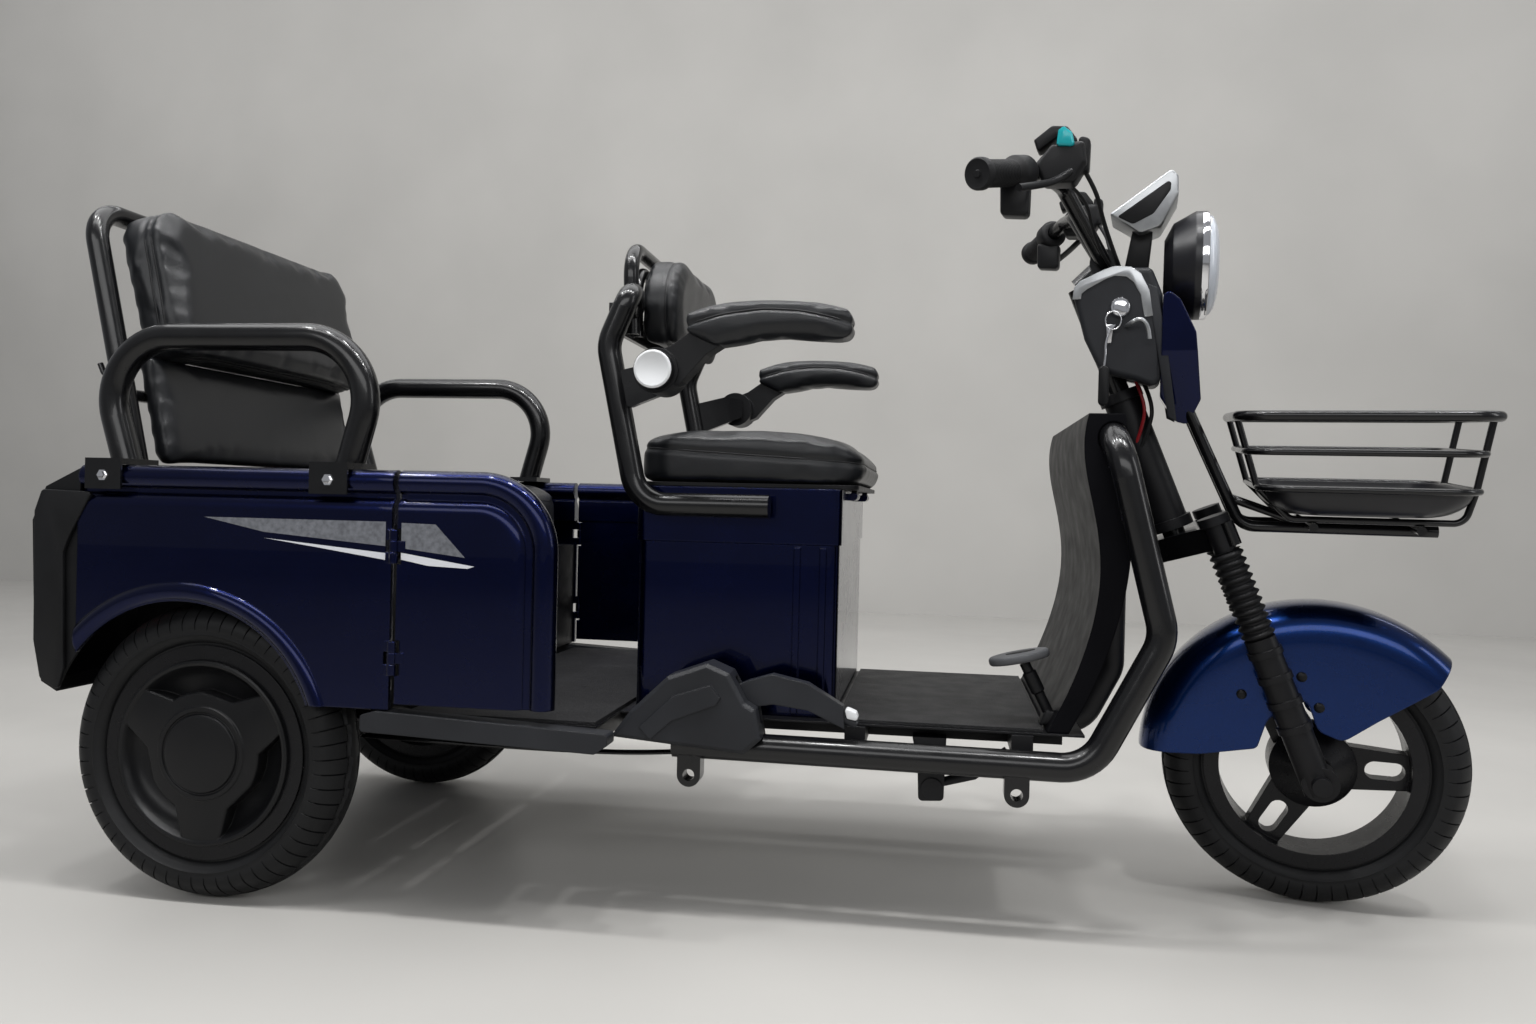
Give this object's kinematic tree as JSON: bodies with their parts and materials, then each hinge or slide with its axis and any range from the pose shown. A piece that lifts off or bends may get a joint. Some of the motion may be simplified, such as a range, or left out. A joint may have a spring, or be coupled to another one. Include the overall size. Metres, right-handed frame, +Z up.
{
  "type": "electric tricycle",
  "caption": "Electric passenger tricycle with a steered front wheel and basket, driver seat on a battery box, and a rear bench body with hinged side doors.",
  "frame": {"origin": "floor level, at the middle of the overall length and width", "axes": "+X forward, +Y to the left, +Z up"},
  "size_m": [1.9998, 0.772, 1.0844],
  "materials": {
    "body_blue": "deep metallic navy gloss paint",
    "guard_blue": "metallic blue gloss paint",
    "black_tube": "gloss black powder coat",
    "frame_black": "satin black powder coat",
    "black_plastic": "moulded black plastic",
    "gloss_black": "gloss black moulding",
    "grey_plastic": "grained dark grey plastic",
    "vinyl": "black grained vinyl",
    "rubber": "ribbed rubber",
    "tyre": "black tyre rubber",
    "wheel_black": "satin black wheel paint",
    "cover_black": "satin black wheel cover",
    "steel": "bare steel",
    "lens": "clear lens",
    "lamp_red": "red lamp lens"
  },
  "bodies": {
    "frame": {"main_frame": "frame_black", "head_tube": "frame_black", "side_loops": "black_tube", "floor_pan": "frame_black", "floor_mats": "rubber", "step_trims": "grey_plastic", "leg_shield": "gloss_black", "brake_pedal": "black_plastic", "handbrake_cover": "grey_plastic", "handbrake_lever": "grey_plastic", "battery_box": "body_blue", "battery_pack": "black_plastic", "seat_base": "body_blue", "driver_seat_frame": "black_tube", "driver_backrest": "vinyl", "tail_panel": "black_plastic", "tail_lamps": "lamp_red", "rear_tub": "frame_black", "rear_cushion": "vinyl", "rear_back_frame": "black_tube", "rear_back_upper": "vinyl", "rear_back_lower": "vinyl", "rear_armrests": "black_tube", "rear_axle": "frame_black", "body_side_left": "body_blue", "body_side_right": "body_blue"},
    "steering": {"steering_stem": "black_tube", "fork_legs": "frame_black", "fork_gaiters": "rubber", "front_mudguard": "guard_blue", "handlebar": "black_tube", "grips": "rubber", "control_pods": "black_plastic", "headlight_housing": "gloss_black", "headlight_lens": "lens", "cowl": "grey_plastic", "cowl_front": "body_blue", "display": "gloss_black", "basket_frame": "black_tube", "basket_tray": "black_plastic", "basket_support": "black_tube"},
    "front_wheel": {"front_tyre": "tyre", "front_rim": "wheel_black"},
    "rear_wheel_left": {"rear_tyre_left": "tyre", "rear_rim_left": "wheel_black", "wheel_cover_left": "cover_black"},
    "rear_wheel_right": {"rear_tyre_right": "tyre", "rear_rim_right": "wheel_black", "wheel_cover_right": "cover_black"},
    "door_left": {"door_left": "body_blue"},
    "door_right": {"door_right": "body_blue"},
    "driver_seat": {"seat_pan": "black_plastic", "driver_cushion": "vinyl"},
    "armrest_left": {"armrest_arm_left": "black_plastic", "armrest_pad_left": "vinyl"},
    "armrest_right": {"armrest_arm_right": "black_plastic", "armrest_pad_right": "vinyl"}
  },
  "joints": [
    {"name": "steering_turn", "type": "hinge", "parent": "frame", "child": "steering", "pos_m": [0.51231, 0, 0.74], "axis": [-0.3746, 0, 0.9272], "range_deg": [-29, 51]},
    {"name": "front_wheel_spin", "type": "hinge", "parent": "steering", "child": "front_wheel", "pos_m": [0.79229, -0.01147, 0.20459], "axis": [0.1769, 0.9816, 0.0715], "continuous": true},
    {"name": "rear_wheel_left_spin", "type": "hinge", "parent": "frame", "child": "rear_wheel_left", "pos_m": [-0.73769, 0.3225, 0.205], "axis": [0, 1, 0], "continuous": true},
    {"name": "rear_wheel_right_spin", "type": "hinge", "parent": "frame", "child": "rear_wheel_right", "pos_m": [-0.73769, -0.3225, 0.205], "axis": [0, 1, 0], "continuous": true},
    {"name": "door_left_swing", "type": "hinge", "parent": "frame", "child": "door_left", "pos_m": [-0.45469, 0.38, 0.43], "axis": [0, 0, 1], "range_deg": [0, 95]},
    {"name": "door_right_swing", "type": "hinge", "parent": "frame", "child": "door_right", "pos_m": [-0.45469, -0.38, 0.43], "axis": [0, 0, -1], "range_deg": [0, 95]},
    {"name": "seat_lift", "type": "hinge", "parent": "frame", "child": "driver_seat", "pos_m": [0.12431, 0, 0.577], "axis": [0, 1, 0], "range_deg": [0, 70]},
    {"name": "armrest_left_raise", "type": "hinge", "parent": "frame", "child": "armrest_left", "pos_m": [-0.12569, 0.295, 0.735], "axis": [0, -1, 0], "range_deg": [0, 100]},
    {"name": "armrest_right_raise", "type": "hinge", "parent": "frame", "child": "armrest_right", "pos_m": [-0.12569, -0.295, 0.735], "axis": [0, -1, 0], "range_deg": [0, 100]}
  ]
}
